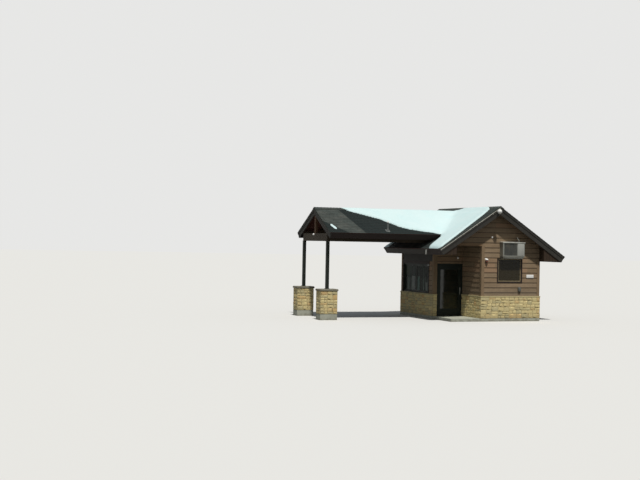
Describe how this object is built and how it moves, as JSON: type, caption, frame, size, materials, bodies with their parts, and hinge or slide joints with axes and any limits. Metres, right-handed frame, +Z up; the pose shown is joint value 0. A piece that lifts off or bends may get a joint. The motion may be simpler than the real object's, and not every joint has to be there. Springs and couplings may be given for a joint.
{
  "type": "security guard booth",
  "caption": "Gabled guard booth with a corner porch, a swinging glass door and a drive-through canopy on posts and stone piers.",
  "frame": {"origin": "on the level ground, under the main ridge and in the plane of the booth's front wall", "axes": "+X along the front of the booth away from the canopy, +Y back from the front wall, +Z up"},
  "size_m": [10.225, 5.7598, 4.724],
  "materials": {
    "concrete": "cast concrete",
    "siding": "stained lap siding",
    "soffit_board": "painted boards",
    "stone": "rough tan stone",
    "corner_trim": "painted boards",
    "trim": "painted boards",
    "shingles": "granular shingles",
    "timber": "stained timber",
    "black_steel": "satin paint",
    "glass": "clear glass",
    "beige_frame": "satin paint",
    "blind": "satin paint",
    "bright_metal": "satin",
    "lamp_white": "opal"
  },
  "bodies": {
    "booth": {"floor_slab": "concrete", "left_wall": "siding", "back_wall": "siding", "right_wall": "siding", "front_wall": "siding", "front_gable": "siding", "return_wall": "siding", "door_wall": "siding", "porch_side_beam": "trim", "ceiling": "soffit_board", "stone_wainscot": "stone", "wainscot_cap": "concrete", "corner_boards": "corner_trim", "frieze_boards": "trim", "window_casings": "trim", "roof_left": "shingles", "roof_right": "shingles", "barge_boards": "trim", "eave_fascias": "trim", "eave_soffits": "soffit_board", "ridge_caps": "shingles", "canopy_roof_front": "shingles", "canopy_roof_back": "shingles", "canopy_barge_boards": "trim", "canopy_fascias": "trim", "canopy_rafters": "timber", "canopy_beams": "timber", "tie_beam": "timber", "king_post": "timber", "canopy_posts": "black_steel", "stone_piers": "stone", "pier_caps": "concrete", "lane_window_frame": "black_steel", "lane_window_sashes": "black_steel", "window_glass": "glass", "front_window_frame": "beige_frame", "front_window_blind": "blind", "door_frame": "black_steel", "door_hinges": "black_steel", "cooler": "bright_metal", "lamps": "lamp_white", "vent_pipe": "bright_metal"},
    "door": {"door_leaf": "black_steel", "door_glass": "glass", "door_pull": "bright_metal"}
  },
  "joints": [
    {"name": "door_hinge", "type": "hinge", "parent": "booth", "child": "door", "pos_m": [-1.762, 1.622, 1.2], "axis": [0, 0, -1], "range_deg": [0, 100]}
  ]
}
